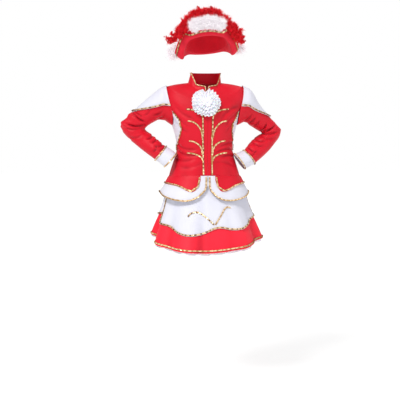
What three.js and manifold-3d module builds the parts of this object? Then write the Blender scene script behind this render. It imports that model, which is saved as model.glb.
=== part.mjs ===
// A child's majorette costume, size 134 to 140, filled out as it is worn: a red jacket with a basque,
// white side panels, oversleeves and cuffs, a ruffled jabot, a flared skirt with a white overskirt
// and a frill, and a brimmed hat with a boa. Every piece of cloth is a wall of its own.
// Millimetres. +Z is up, the front looks along -Y, and +X is the wearer's left.
// The origin is at the middle of the neck's base, where the wearer's shoulders hold the jacket up.
import * as THREE from "three";
import { mergeVertices } from "three/addons/utils/BufferGeometryUtils.js";
import Module from "manifold-3d";

const wasm = await Module();
wasm.setup();

const CLOTH = 1.2; // a satin wall, fused to its interlining
const SEAM = 0.5; // between pieces that are sewn edge to edge
const LAY = 0.5; // under a piece that lies on another
const NET = 1.0; // organza and net
const BRAID_WIDE = 5;
const BRAID_THICK = 1;
const BRAID_LAY = 0.8; // under a braid, which is stiffer than the cloth and bridges its hollows
const FULL = 360;
const DEG = Math.PI / 180;

const costume = new THREE.Group();

const finish = (color, roughness) => new THREE.MeshStandardMaterial({ color, roughness, metalness: 0 });
const RED = finish(0xe0202e, 0.55);
const WHITE = finish(0xf1f0f4, 0.6);
const ORGANZA = finish(0xf4f2f6, 0.8);
const VELVET = finish(0xc01428, 0.85);
const GOLD = new THREE.MeshStandardMaterial({ color: 0xc79a4a, roughness: 0.3, metalness: 0.7 });
const BOA_WHITE = finish(0xf5f4f5, 0.95);
const BOA_RED = finish(0xd8101f, 0.95);

const { min, max, sin, cos, abs, sign, round, PI } = Math;
const mix = (a, b, s) => a + (b - a) * s;
const ease = (s) => s * s * (3 - 2 * s);
const unit = (s) => min(max(s, 0), 1);
const turnOf = (u) => ((((u + 180) % FULL) + FULL) % FULL) - 180; // -180 to 180, from the front
const table = (columns, rows) =>
  rows.map((row) => Object.fromEntries(columns.map((name, i) => [name, row[i]])));

// The value of one column at a place between the rows, on a smooth curve through them.
function along(rows, column, at) {
  const last = rows.length - 1;
  let i = 0;
  while (i < last - 1 && at > rows[i + 1].at) i += 1;
  const slope = (j) => {
    const [a, b] = [rows[max(j - 1, 0)], rows[min(j + 1, last)]];
    return (b[column] - a[column]) / (b.at - a.at);
  };
  const [a, b] = [rows[i], rows[i + 1]];
  const span = b.at - a.at;
  const s = unit((at - a.at) / span);
  const [s2, s3] = [s * s, s * s * s];
  return (
    (2 * s3 - 3 * s2 + 1) * a[column] +
    (s3 - 2 * s2 + s) * span * slope(i) +
    (3 * s2 - 2 * s3) * b[column] +
    (s3 - s2) * span * slope(i + 1)
  );
}

// A form is a smooth surface: point(u, v), with u round the wearer or the arm, and v along it.
// facing is 1 where u to v turns outwards, and -1 where it turns inwards.
const form = (point, facing = 1) => ({ point, facing });

function normalAt({ point, facing }, u, v) {
  const step = 0.01;
  const du = point(u + step, v).sub(point(u - step, v));
  const dv = point(u, v + step).sub(point(u, v - step));
  return du.cross(dv).normalize().multiplyScalar(facing);
}

const lifted = (surface, u, v, lift) =>
  surface.point(u, v).addScaledVector(normalAt(surface, u, v), lift);

function volumeOf(points, faces) {
  const cross = new THREE.Vector3();
  let six = 0;
  for (const [a, b, c] of faces) six += points[a].dot(cross.crossVectors(points[b], points[c]));
  return six / 6;
}

// A closed mesh with its faces outwards, whichever way its grid was walked.
function closedMesh(points, faces) {
  const out = volumeOf(points, faces) > 0 ? faces : faces.map(([a, b, c]) => [a, c, b]);
  const geometry = new THREE.BufferGeometry().setFromPoints(points);
  return geometry.setIndex(out.flat());
}

const quad = (a, b, c, d) => [[a, b, c], [a, c, d]];

// A wall between two grids of points, rows by columns: the outer faces, the inner faces and the rim.
function shell(outer, inner, closed) {
  const [high, wide] = [outer.length, outer[0].length];
  const points = [...outer.flat(), ...inner.flat()];
  const at = (side, row, column) => (side * high + row) * wide + (column % wide);
  const faces = [];
  const columns = closed ? wide : wide - 1;
  for (let r = 0; r < high - 1; r += 1)
    for (let c = 0; c < columns; c += 1) {
      faces.push(...quad(at(0, r, c), at(0, r, c + 1), at(0, r + 1, c + 1), at(0, r + 1, c)));
      faces.push(...quad(at(1, r, c), at(1, r + 1, c), at(1, r + 1, c + 1), at(1, r, c + 1)));
    }
  const top = high - 1;
  for (let c = 0; c < columns; c += 1) {
    faces.push(...quad(at(0, 0, c + 1), at(0, 0, c), at(1, 0, c), at(1, 0, c + 1)));
    faces.push(...quad(at(0, top, c), at(0, top, c + 1), at(1, top, c + 1), at(1, top, c)));
  }
  if (!closed)
    for (let r = 0; r < high - 1; r += 1) {
      faces.push(...quad(at(0, r, 0), at(0, r + 1, 0), at(1, r + 1, 0), at(1, r, 0)));
      const end = wide - 1;
      faces.push(...quad(at(0, r + 1, end), at(0, r, end), at(1, r, end), at(1, r + 1, end)));
    }
  return closedMesh(points, faces);
}

// A piece of cloth on a form. place(s, t) gives its [u, v], for s across and t along, both 0 to 1.
function cloth(surface, across, down, place, { lift = 0, thick = CLOTH, closed = false } = {}) {
  const grid = (height) =>
    Array.from({ length: down + 1 }, (_, row) =>
      Array.from({ length: closed ? across : across + 1 }, (_, column) => {
        const [u, v] = place(column / across, row / down);
        return lifted(surface, u, v, height);
      }),
    );
  return shell(grid(lift + thick), grid(lift), closed);
}

// A flat braid along a path of [u, v] places on a form.
function braid(surface, path, { lift, wide = BRAID_WIDE, thick = BRAID_THICK, closed = false }) {
  const spots = path.map(([u, v]) => ({
    point: surface.point(u, v),
    normal: normalAt(surface, u, v),
  }));
  const count = spots.length;
  const side = spots.map(({ normal }, i) => {
    const next = spots[closed ? (i + 1) % count : min(i + 1, count - 1)].point;
    const before = spots[closed ? (i + count - 1) % count : max(i - 1, 0)].point;
    return next.clone().sub(before).cross(normal).normalize();
  });
  const line = (across, height) =>
    spots.map(({ point, normal }, i) =>
      point.clone().addScaledVector(side[i], (across * wide) / 2).addScaledVector(normal, height),
    );
  const grid = (height) => [line(-1, height), line(1, height)];
  return shell(grid(lift + thick), grid(lift), closed);
}

const pick = (list, s) => list[round(s * (list.length - 1))];
const steps = (count, place) => Array.from({ length: count + 1 }, (_, i) => place(i / count));

function add(name, geometry, material, parent = costume) {
  const mesh = new THREE.Mesh(geometry, material);
  mesh.name = name;
  parent.add(mesh);
  return mesh;
}

// A boolean needs the shared vertices of a mesh merged, by position alone.
function solid(geometry) {
  const bare = geometry.clone();
  bare.deleteAttribute("normal");
  bare.deleteAttribute("uv");
  const merged = mergeVertices(bare, 1e-4);
  return new wasm.Manifold(
    new wasm.Mesh({
      numProp: 3,
      vertProperties: merged.attributes.position.array,
      triVerts: new Uint32Array(merged.index.array),
    }),
  );
}

function meshOf(made) {
  const { vertProperties, triVerts } = made.getMesh();
  const geometry = new THREE.BufferGeometry();
  geometry.setAttribute("position", new THREE.BufferAttribute(vertProperties, 3));
  return geometry.setIndex(new THREE.BufferAttribute(triVerts, 1));
}

const joined = (geometries) => meshOf(geometries.map(solid).reduce((all, one) => all.add(one)));

// A ring round the wearer: u is degrees from the front over the wearer's left, and its half width,
// depth before and depth behind may differ, as may the heights at its front and back.
function ringPoint(ring, u, fullness = 0.92) {
  const [s, c] = [sin(u * DEG), cos(u * DEG)];
  const front = c > 0;
  const depth = front ? ring.before : ring.behind;
  const rise = (front ? ring.frontZ : ring.backZ) - ring.z;
  return new THREE.Vector3(
    (ring.shift ?? 0) + ring.half * sign(s) * abs(s) ** fullness,
    -depth * sign(c) * abs(c) ** fullness,
    ring.z + rise * c * c,
  );
}

const ringAt = (rows, v) =>
  Object.fromEntries(Object.keys(rows[0]).map((column) => [column, along(rows, column, v)]));

// The jacket's body, from the waist seam up over the shoulders to the neckline.
const NECKLINE = 14;
const bodyRings = table(
  ["at", "z", "frontZ", "backZ", "half", "before", "behind"],
  [
    [0, -336, -331, -336, 132, 96, 102],
    [1, -303, -299, -303, 122, 91, 97],
    [2, -270, -268, -270, 111, 86, 90],
    [3, -240, -240, -240, 104, 83, 84],
    [4, -210, -210, -210, 104.5, 86, 84],
    [5, -180, -181, -180, 110, 90, 88],
    [6, -150, -153, -150, 118, 94, 93],
    [7, -124, -129, -124, 127, 96, 96],
    [8, -96, -106, -99, 136, 95, 97],
    [9, -66, -87, -73, 144, 91, 96],
    [10, -36, -70, -50, 147, 84, 92],
    [11, -5, -56, -32, 139, 76, 83],
    [12, 1, -46, -15, 112, 70, 73],
    [13, 5, -36, -2, 86, 64, 62],
    [14, 8, -27, 8, 60, 57, 51],
  ],
);
const body = form((u, v) => ringPoint(ringAt(bodyRings, v), u));

// Half of each armhole, from the shoulder tip down the front edge to the armpit: places on the body.
const ARMHOLE = [
  [90, 11],
  [78, 10.7],
  [69, 10.1],
  [65, 9.3],
  [64, 8.2],
  [68, 7.3],
  [78, 6.45],
  [90, 6.15],
];
const PANEL_TOP = 4; // the armhole's place where the front and side panels meet

// The front panel's outer edge: the side seam, the curved seam of the side panel, then the armhole.
const SIDE_SEAM = 90;
const frontEdge = [
  [0, SIDE_SEAM],
  [1.4, SIDE_SEAM],
  [2.4, SIDE_SEAM],
  [3, 89],
  [3.6, 84],
  [4.4, 69],
  [5.5, 55],
  [6.8, 53],
  ...ARMHOLE.slice(0, PANEL_TOP + 1).reverse().map(([u, v]) => [v, u]),
  [12, SIDE_SEAM],
  [13, SIDE_SEAM],
  [NECKLINE, SIDE_SEAM],
];
const PLACKET_TOP = 22; // half the placket's width at the neck, and at the waist seam
const PLACKET_FOOT = 13;
const angleAt = (x, v) => {
  const ring = ringAt(bodyRings, v);
  return Math.asin(unit(abs(x) / ring.half) ** (1 / 0.92)) / DEG * sign(x);
};
const placketEdge = (v) => mix(PLACKET_FOOT, PLACKET_TOP, (v / NECKLINE) ** 2);
const seamAngle = (v) => (SEAM / 2 / ringAt(bodyRings, v).before) / DEG;

function frontPanel(side) {
  const rows = frontEdge.length - 1;
  return cloth(body, 6, rows, (s, t) => {
    const [v, edge] = frontEdge[round(t * rows)];
    const inner = angleAt(placketEdge(v), v) + seamAngle(v);
    return [side * mix(inner, edge - seamAngle(v), s), v];
  });
}

function backPanel() {
  const rows = frontEdge.length - 1;
  return cloth(body, 10, rows, (s, t) => {
    const [v, edge] = frontEdge[round(t * rows)];
    const inset = 180 - edge + seamAngle(v);
    return [mix(inset, FULL - inset, s), v];
  });
}

// The white side panel, a lens from the waist to the armhole's foot.
const LENS_FOOT = 3;
const LENS_INSET = 2.2; // its curved seams twist, so they stand a little wider than the straight ones
const LENS_DROP = 0.04;
const lensHalf = ARMHOLE.slice(PANEL_TOP);
const lensBehind = lensHalf.slice(0, -1).reverse().map(([u, v]) => [180 - u, v]);
const lensTop = [...lensHalf, ...lensBehind];
const [firstU, firstV] = lensTop[0];
const lensRows = frontEdge.filter(([v]) => v >= LENS_FOOT && v <= firstV);
function sidePanel(side) {
  return cloth(body, lensTop.length - 1, lensRows.length - 1, (s, t) => {
    const [edgeV, seam] = pick(lensRows, t);
    const [topU, topV] = pick(lensTop, s);
    const edge = seam + LENS_INSET * seamAngle(edgeV);
    const share = (topU - firstU) / (180 - 2 * firstU);
    const high = (edgeV - LENS_FOOT) / (firstV - LENS_FOOT);
    return [side * mix(edge, 180 - edge, share), mix(LENS_FOOT, topV, high) - LENS_DROP * high ** 4];
  });
}

// The placket: two strips that meet at the centre front, closed out of sight under their edges.
function placket(side) {
  return cloth(body, 1, 14, (s, t) => {
    const v = mix(0, NECKLINE, t);
    const inner = angleAt(0.3, v);
    return [side * mix(inner, angleAt(placketEdge(v), v) - seamAngle(v), s), v];
  });
}

for (const [side, name] of [[-1, "right"], [1, "left"]]) {
  add(`front_${name}`, frontPanel(side), RED);
  add(`side_panel_${name}`, sidePanel(side), WHITE);
  add(`placket_${name}`, placket(side), RED);
}
add("back", backPanel(), RED);

// Gold braid on the seams of the side panels, before and behind.
const SEAM_BRAID_IN = 3;
for (const [side, name] of [[-1, "right"], [1, "left"]])
  for (const [behind, place] of [[false, "front"], [true, "back"]]) {
    const path = lensRows.map(([v, edge]) => {
      const u = edge - SEAM_BRAID_IN / ringAt(bodyRings, v).before / DEG;
      return [side * (behind ? 180 - u : u), min(v, 8)];
    });
    const laid = { lift: CLOTH + BRAID_LAY, wide: 4 };
    add(`seam_braid_${place}_${name}`, braid(body, path, laid), GOLD);
  }

// The place on a form near the front with a given x and height, found by closing in on it.
function placeNear(surface, x, z, [u, v], [turn, climb]) {
  for (let i = 0; i < 40; i += 1) {
    const here = surface.point(u, v);
    u += ((x - here.x) / turn) * 0.7;
    v += ((z - here.z) / climb) * 0.7;
  }
  return [u, v];
}
const RING_GAP = 30;
const onChest = (x, z) => placeNear(body, x, z, [x * 0.6, (z + 336) / RING_GAP], [1.8, RING_GAP * 0.9]);

// The front braids: a line down each edge of the placket, and arcs that leave it for the bust.
const BRAID_LINE = 3; // outside the placket's edge
const BRAID_TOP = -122;
const BRAID_FOOT = -328;
const arcs = table(
  ["joinZ", "outX", "outZ"],
  [
    [BRAID_TOP, 76, -89],
    [-200, 70, -131],
    [-254, 65, -204],
    [-281, 71, -249],
  ],
);
const lineX = (z) => placketEdge((z + 336) / RING_GAP) + BRAID_LINE;
for (const [side, name] of [[-1, "right"], [1, "left"]]) {
  const line = steps(7, (s) => mix(BRAID_FOOT, BRAID_TOP, s)).map((z) => [lineX(z), z]);
  const arc = ({ joinZ, outX, outZ }) =>
    steps(5, (s) => [
      mix(lineX(joinZ), outX, 1 - cos((s * PI) / 2)),
      mix(joinZ, outZ, sin((s * PI) / 2)),
    ]);
  const [first, ...others] = arcs.map(arc);
  const ribbons = [[...line, ...first.slice(1)], ...others].map((path) =>
    braid(body, path.map(([x, z]) => onChest(side * x, z)), { lift: CLOTH + BRAID_LAY }),
  );
  add(`front_braid_${name}`, joined(ribbons), GOLD);
}

// The stand collar, open by a notch at the centre front.
const COLLAR_TOP = 46; // the height of its upper edge at the sides and back, and at the front
const COLLAR_FRONT_TOP = -2;
const COLLAR_LEVEL = 40; // degrees from the front where the edge starts to rise, and where it is up
const COLLAR_UP = 76;
const COLLAR_TAPER = 0.12; // it closes in towards its upper edge, and leans to the wearer's left
const COLLAR_SHIFT = 3;
const NOTCH_FOOT = 1.5;
const NOTCH_TOP = 6;
const collar = form((u, h) => {
  const foot = ringPoint(ringAt(bodyRings, NECKLINE), u);
  const rise = ease(unit((abs(turnOf(u)) - COLLAR_LEVEL) / (COLLAR_UP - COLLAR_LEVEL)));
  const top = mix(COLLAR_FRONT_TOP, COLLAR_TOP, rise);
  const taper = 1 - COLLAR_TAPER * h;
  const x = foot.x * taper + COLLAR_SHIFT * h;
  return new THREE.Vector3(x, foot.y * taper, mix(foot.z + LAY + CLOTH, top, h));
});
const notch = (h) => mix(NOTCH_FOOT, NOTCH_TOP, h ** 3);
const collarTop = (s) => mix(0.9, 1, unit(min(s, 1 - s) * 16));
const COLLAR_COLUMNS = 26;
add(
  "collar",
  cloth(collar, COLLAR_COLUMNS, 2, (s, t) => {
    const h = t * collarTop(s);
    return [mix(notch(h), FULL - notch(h), s), h];
  }),
  RED,
);
const PIPING_IN = 0.06;
const pipingFoot = steps(2, (s) => [notch(s * 0.8) + 2, mix(0.1, 0.8, s)]);
const pipingTop = steps(COLLAR_COLUMNS, (s) => [
  mix(notch(1), FULL - notch(1), s),
  collarTop(s) - PIPING_IN,
]).slice(1, -1);
const pipingPath = [...pipingFoot, ...pipingTop, ...pipingFoot.map(([u, h]) => [FULL - u, h]).reverse()];
add("collar_piping", braid(collar, pipingPath, { lift: CLOTH + 2 * BRAID_LAY, wide: 3.4 }), GOLD);

// The sleeves, bent with the cuffs near the waist. Each section gives its outer and inner point
// as seen from the front, its middle's depth and half its depth.
const sleeveColumns = ["at", "outX", "outZ", "inX", "inZ", "y", "deep"];
const sleeveTables = {
  right: table(sleeveColumns, [
    [0, -140, -1, -129, -140, 4, 46],
    [1, -155, -8, -142, -130, 6, 47],
    [2, -182, -29, -165, -126, 12, 46],
    [3, -215, -57, -189, -135, 20, 44],
    [4, -243, -81, -207, -146, 28, 42],
    [5, -267, -103, -216, -154, 36, 40],
    [6, -292, -130, -220, -160, 42, 40],
    [7, -307, -153, -218, -166, 45, 40],
    [8, -296, -178, -211, -173, 42, 38],
    [9, -272, -203, -199, -181, 34, 36],
    [10, -244, -228, -184, -193, 22, 34],
    [11, -214, -252, -170, -209, 8, 33],
    [12, -187, -272, -149, -226, -8, 31],
    [13, -166, -286, -126, -241, -22, 30],
    [14, -149, -299, -109, -256, -34, 28],
  ]),
  left: table(sleeveColumns, [
    [0, 140, -3, 129, -140, 4, 46],
    [1, 161, -10, 144, -134, 8, 47],
    [2, 182, -29, 162, -139, 18, 46],
    [3, 204, -65, 183, -151, 30, 44],
    [4, 232, -97, 204, -163, 42, 42],
    [5, 258, -122, 219, -171, 52, 40],
    [6, 282, -146, 225, -177, 58, 40],
    [7, 299, -165, 222, -183, 60, 40],
    [8, 293, -192, 212, -189, 56, 38],
    [9, 272, -218, 199, -197, 44, 36],
    [10, 248, -243, 183, -209, 28, 34],
    [11, 221, -266, 166, -224, 10, 33],
    [12, 190, -288, 149, -243, -10, 31],
    [13, 167, -298, 127, -251, -24, 30],
    [14, 144, -307, 106, -257, -36, 29],
  ]),
};
const SLEEVE_SIDES = 2 * (ARMHOLE.length - 1);
const HEAD = 1.4; // the sleeve's head runs straight from the armhole to the arm's section here
const armhole = (side, u) => {
  const turn = turnOf(u);
  const behind = turn >= 0;
  const k = (abs(turn) / 180) * (ARMHOLE.length - 1);
  const i = min(Math.floor(k), ARMHOLE.length - 2);
  const angle = mix(ARMHOLE[i][0], ARMHOLE[i + 1][0], k - i);
  const v = mix(ARMHOLE[i][1], ARMHOLE[i + 1][1], k - i);
  return lifted(body, side * (behind ? 180 - angle : angle), v, CLOTH + 2 * LAY);
};
const sleeveForm = (side, rows) =>
  form((u, v) => {
    const row = ringAt(rows, max(v, HEAD));
    const [c, s] = [cos(u * DEG), sin(u * DEG)];
    const section = new THREE.Vector3(
      mix(row.inX, row.outX, (1 + c) / 2),
      row.y + row.deep * s,
      mix(row.inZ, row.outZ, (1 + c) / 2),
    );
    return v < HEAD ? armhole(side, u).lerp(section, v / HEAD) : section;
  }, -side);

const SLEEVE_END = 13;
const OVER_LAY = 2; // the oversleeve stands off the sleeve a little
const CUFF_TOP = 12;
const CUFF_END = 14;
const CUFF_BRAID_IN = 0.12;
const cuffRows = [CUFF_TOP, CUFF_TOP + CUFF_BRAID_IN, 13, CUFF_END - CUFF_BRAID_IN, CUFF_END];
const OVER_TIP = 4.9;
// Half the oversleeve's width, in degrees round the arm.
const overHalf = table(
  ["at", "wide"],
  [
    [0, 90],
    [1, 92],
    [2, 92],
    [3, 76],
    [4, 50],
    [4.5, 31],
    [OVER_TIP, 10],
  ],
);
const armRows = [0, 0.7, HEAD, 2.2, 3, 4, 4.5, OVER_TIP, 6, 7, 8, 9, 10.4];
const sleeveRows = [...armRows, CUFF_TOP, cuffRows[1], SLEEVE_END];
for (const [side, name] of [[-1, "right"], [1, "left"]]) {
  const arm = sleeveForm(side, sleeveTables[name]);
  const last = sleeveRows.length - 1;
  add(
    `sleeve_${name}`,
    cloth(arm, SLEEVE_SIDES, last, (s, t) => [s * FULL, sleeveRows[round(t * last)]], { closed: true }),
    RED,
  );
  const overRows = [...sleeveRows.filter((v) => v < OVER_TIP), OVER_TIP];
  const tip = overRows.length - 1;
  add(
    `oversleeve_${name}`,
    cloth(
      arm,
      8,
      tip,
      (s, t) => {
        const v = overRows[round(t * tip)];
        return [mix(-1, 1, s) * along(overHalf, "wide", v), v];
      },
      { lift: CLOTH + OVER_LAY },
    ),
    WHITE,
  );
  const edge = (way) =>
    overRows.map((v) => [way * (along(overHalf, "wide", v) - 4), max(v, 0.05)]);
  const path = [...edge(-1).slice(0, -1), [0, OVER_TIP - 0.05], ...edge(1).reverse().slice(1)];
  const onOver = { lift: 2 * CLOTH + OVER_LAY + 2 * BRAID_LAY, wide: 4 };
  add(`sleeve_braid_${name}`, braid(arm, path, onOver), GOLD);
  add(
    `cuff_${name}`,
    cloth(arm, SLEEVE_SIDES, cuffRows.length - 1, (s, t) => [s * FULL, pick(cuffRows, t)], {
      closed: true,
      lift: CLOTH + LAY,
    }),
    WHITE,
  );
  for (const [v, place] of [[cuffRows[1], "top"], [cuffRows.at(-2), "end"]]) {
    const ring = steps(SLEEVE_SIDES, (s) => [s * FULL, v]).slice(0, -1);
    const laid = { lift: 2 * CLOTH + LAY + BRAID_LAY, wide: 4, closed: true };
    add(`cuff_braid_${place}_${name}`, braid(arm, ring, laid), GOLD);
  }
}

// The basque: a white skirt on the jacket's waist seam, split at the front, with a red one over it.
// v runs from 0 at the seam to 1 at the longest hem.
const BASQUE_LONG = 103; // millimetres of cloth from the seam to the longest hem
const basqueRings = table(
  ["at", "z", "frontZ", "backZ", "half", "before", "behind", "shift"],
  [
    [0, -337, -332, -337, 133, 97.5, 103.5, 0],
    [0.35, -365, -364, -366, 148, 107, 112, -1],
    [0.7, -391, -397, -398, 164, 117, 122, -3],
    [1, -417, -427, -428, 180, 127, 133, -5],
  ],
);
const basque = form((u, v) => ringPoint(ringAt(basqueRings, v), u), -1);
// Lengths of the white and the red basque round the wearer, in millimetres from the seam.
const basqueLengths = table(
  ["at", "white", "red"],
  [
    [0, 42, 24],
    [4, 66, 24],
    [10, 86, 24],
    [12, 90, 44],
    [14, 94, 56],
    [19, 100, 64],
    [25, 103, 63],
    [32, 103, 54],
    [42, 101, 45],
    [52, 97, 40],
    [64, 91, 37],
    [77, 82, 35],
    [90, 78, 35],
    [106, 80, 37],
    [122, 87, 42],
    [140, 96, 54],
    [158, 101, 63],
    [180, 99, 60],
  ],
);
const basqueHem = (u, column) => along(basqueLengths, column, abs(turnOf(u))) / BASQUE_LONG;
const BASQUE_SPLIT = 0.25;
const RED_START = 10;
const basqueFront = [RED_START, 14, 19, 25, 32, 41, 52, 64, 77, SIDE_SEAM - seamAngle(0)];
const basqueBack = steps(14, (s) => mix(SIDE_SEAM + seamAngle(0), FULL - SIDE_SEAM - seamAngle(0), s));
const basqueLayers = [
  { colour: "white", material: WHITE, front: [BASQUE_SPLIT, 5, ...basqueFront], lift: 0 },
  { colour: "red", material: RED, front: basqueFront, lift: CLOTH + LAY },
];
for (const { colour, material, front, lift } of basqueLayers) {
  const panels = {
    front_right: front.map((u) => -u),
    front_left: front,
    back: basqueBack,
  };
  for (const [name, columns] of Object.entries(panels)) {
    const place = (s, t) => {
      const u = pick(columns, s);
      return [u, t * basqueHem(u, colour)];
    };
    const wall = cloth(basque, columns.length - 1, 2, place, { lift });
    add(`basque_${colour}_${name}`, wall, material);
  }
}
const HEM_IN = 3 / BASQUE_LONG; // the braid's middle, above the hem
const basquePath = (colour, start, count) => {
  const down = steps(2, (s) => [start + 1.4, mix(0.06, basqueHem(start, colour) - 2 * HEM_IN, s)]);
  const hem = steps(count, (s) => {
    const u = mix(start + 2.4, FULL - start - 2.4, s);
    return [u, basqueHem(u, colour) - HEM_IN];
  });
  return [...down, ...hem, ...down.map(([u, v]) => [FULL - u, v]).reverse()];
};
add(
  "basque_braid_white",
  braid(basque, basquePath("white", BASQUE_SPLIT + 0.35, 48), { lift: CLOTH + BRAID_LAY }),
  GOLD,
);
add(
  "basque_braid_red",
  braid(basque, basquePath("red", RED_START, 44), {
    lift: 2 * CLOTH + LAY + BRAID_LAY,
    wide: 4,
  }),
  GOLD,
);

// The skirt hangs from a waistband inside the jacket. v runs from 0 at the band to 1 at the hem.
const skirtRings = table(
  ["at", "z", "frontZ", "backZ", "half", "before", "behind", "shift"],
  [
    [0, -252, -252, -252, 98, 77, 79, 0],
    [0.25, -327, -327, -327, 122.6, 88.7, 94.6, 0],
    [0.44, -386, -388, -388, 141, 101, 109, 1],
    [0.62, -446, -452, -452, 158, 122, 130, 4],
    [0.8, -502, -523, -520, 180, 146, 156, 7],
    [1, -569, -606, -599, 206, 172, 184, 10],
  ],
);
// The folds of the flare: each a soft trough or ridge at an angle, as deep at the hem as given.
const folds = table(
  ["angle", "wide", "deep"],
  [
    [-68, 14, 5],
    [-87, 12, -32],
    [-104, 14, 8],
    [-125, 16, -20],
    [-146, 15, 12],
    [-168, 16, -18],
    [168, 15, 12],
    [146, 17, -22],
    [121, 16, 14],
    [99, 15, -14],
    [62, 14, -12],
    [36, 17, 8],
    [6, 20, -7],
    [-26, 20, 7],
    [-52, 16, -5],
  ],
);
const FOLD_START = 0.4; // the folds open below the basque
const foldDepth = (u, v) => {
  const open = ease(unit((v - FOLD_START) / (1 - FOLD_START)));
  return folds.reduce((sum, { angle, wide, deep }) => {
    const away = abs(turnOf(u - angle)) / wide;
    return away < 1 ? sum + deep * open * (0.5 + 0.5 * cos(away * PI)) : sum;
  }, 0);
};
// The flare hangs lower before the wearer's right hip, and is hitched up behind it.
const hemDrops = table(
  ["at", "drop"],
  [
    [-180, 0],
    [-130, 0],
    [-106, -15],
    [-92, -5],
    [-78, 10],
    [-62, 14],
    [-44, 12],
    [-24, 7],
    [0, 2],
    [24, 0],
    [180, 0],
  ],
);
const hemDrop = (u, v) => along(hemDrops, "drop", turnOf(u)) * unit(v) ** 3;
const skirt = form((u, v) => {
  const flat = ringPoint(ringAt(skirtRings, v), u, 1);
  flat.z -= hemDrop(u, v);
  const depth = foldDepth(u, v);
  const out = new THREE.Vector2(flat.x / 206, flat.y / 180).normalize();
  return flat.add(new THREE.Vector3(out.x * depth, out.y * depth, 0));
}, -1);

const bandRings = table(
  ["at", "z", "frontZ", "backZ", "half", "before", "behind"],
  [
    [0, -226, -226, -226, 97.5, 77, 78],
    [1, -251.4, -251.4, -251.4, 98, 77, 79],
  ],
);
const band = form((u, v) => ringPoint(ringAt(bandRings, v), u, 1), -1);
add("waistband", cloth(band, 28, 1, (s, t) => [s * FULL, t], { closed: true, thick: 2 }), RED);

// The layers share their columns, so that they lie flat on each other in the folds.
const SKIRT_STEP = 7.5;
const skirtColumns = (from, to) => {
  const first = Math.ceil(from / SKIRT_STEP + 0.3);
  const last = Math.floor(to / SKIRT_STEP - 0.3);
  return [from, ...steps(last - first, (s) => mix(first, last, s) * SKIRT_STEP), to];
};
const skirtRows = [0, 0.28, 0.47, 0.66, 0.83, 0.96, 1];
for (const [name, from, to] of [["front", -90, 90], ["back", 90, 270]]) {
  const columns = skirtColumns(from + 0.12, to - 0.12);
  const place = (s, t) => [pick(columns, s), pick(skirtRows, t)];
  add(`skirt_${name}`, cloth(skirt, columns.length - 1, skirtRows.length - 1, place), RED);
}
const SKIRT_COLUMNS = FULL / SKIRT_STEP;
const skirtHem = steps(SKIRT_COLUMNS, (s) => [s * FULL, 0.982]).slice(0, -1);
add(
  "skirt_braid",
  braid(skirt, skirtHem, { lift: CLOTH + 2 * BRAID_LAY, closed: true }),
  GOLD,
);

// The white overskirt: an apron over the front, lapping the shorter back at the wearer's sides.
const OVER_LIFT = CLOTH + 2;
const apronEdge = { right: -75, left: 90 };
// The apron's and the back's hems round the wearer, as shares of the skirt's length.
const apronHem = table(
  ["at", "share"],
  [
    [-75, 0.81],
    [-64, 0.805],
    [-54, 0.812],
    [-44, 0.838],
    [-32, 0.862],
    [-20, 0.862],
    [-8, 0.838],
    [4, 0.803],
    [14, 0.802],
    [24, 0.824],
    [36, 0.832],
    [50, 0.816],
    [70, 0.775],
    [90, 0.74],
  ],
);
const backHem = table(
  ["at", "share"],
  [
    [90, 0.74],
    [112, 0.755],
    [134, 0.82],
    [156, 0.8],
    [180, 0.75],
    [204, 0.8],
    [228, 0.83],
    [254, 0.76],
    [285, 0.7],
  ],
);
const OVER_ROWS = [0.004, ...skirtRows.slice(1, 4)];
const LAP = 0.3; // degrees between the apron and the back, which are sewn at the wearer's sides
const OVER_HEM_IN = 0.009;
const overBraid = { lift: OVER_LIFT + CLOTH + BRAID_LAY };
const overskirt = (hem, columns) =>
  cloth(
    skirt,
    columns.length - 1,
    4,
    (s, t) => {
      const u = pick(columns, s);
      const share = along(hem, "share", u);
      return [u, pick([...OVER_ROWS, share], t)];
    },
    { lift: OVER_LIFT },
  );
const hemBraid = (hem, columns) =>
  columns.slice(1, -1).map((u) => [u, along(hem, "share", u) - OVER_HEM_IN]);
const apronColumns = skirtColumns(apronEdge.right, apronEdge.left);
const backColumns = skirtColumns(apronEdge.left + LAP, FULL + apronEdge.right - LAP);
add("overskirt_front", overskirt(apronHem, apronColumns), WHITE);
add("overskirt_back", overskirt(backHem, backColumns), WHITE);
const sideBraid = (u, way) => {
  const foot = along(apronHem, "share", u) - 2 * OVER_HEM_IN;
  return steps(2, (s) => [u + way * 1.2, mix(0.47, foot, s)]);
};
const apronPath = [
  ...sideBraid(apronEdge.right, 1),
  ...hemBraid(apronHem, apronColumns),
  ...sideBraid(apronEdge.left, -1).reverse(),
];
add("apron_braid", braid(skirt, apronPath, overBraid), GOLD);
add("overskirt_back_braid", braid(skirt, hemBraid(backHem, backColumns), overBraid), GOLD);

// Two hooked lines of braid that carry the apron's scallops on, up over its middle.
const SKIRT_FALL = 345; // millimetres that one share of the skirt's length falls at the front
const onSkirt = (x, z) => placeNear(skirt, x, z, [x * 0.45, (-z - 252) / SKIRT_FALL], [2.4, -SKIRT_FALL]);
const scrolls = {
  right: [
    [16.5, -509],
    [-2, -491],
    [-24, -472],
    [-42, -464],
    [-56, -465],
    [-67, -471],
    [-74, -480],
  ],
  left: [
    [21.5, -509],
    [33, -492],
    [44, -475],
    [53, -460],
    [61, -451],
    [70, -447],
    [80, -450],
  ],
};
for (const [name, points] of Object.entries(scrolls))
  add(
    `apron_scroll_${name}`,
    braid(skirt, points.map(([x, z]) => onSkirt(x, z)), { ...overBraid, wide: 4 }),
    GOLD,
  );

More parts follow.
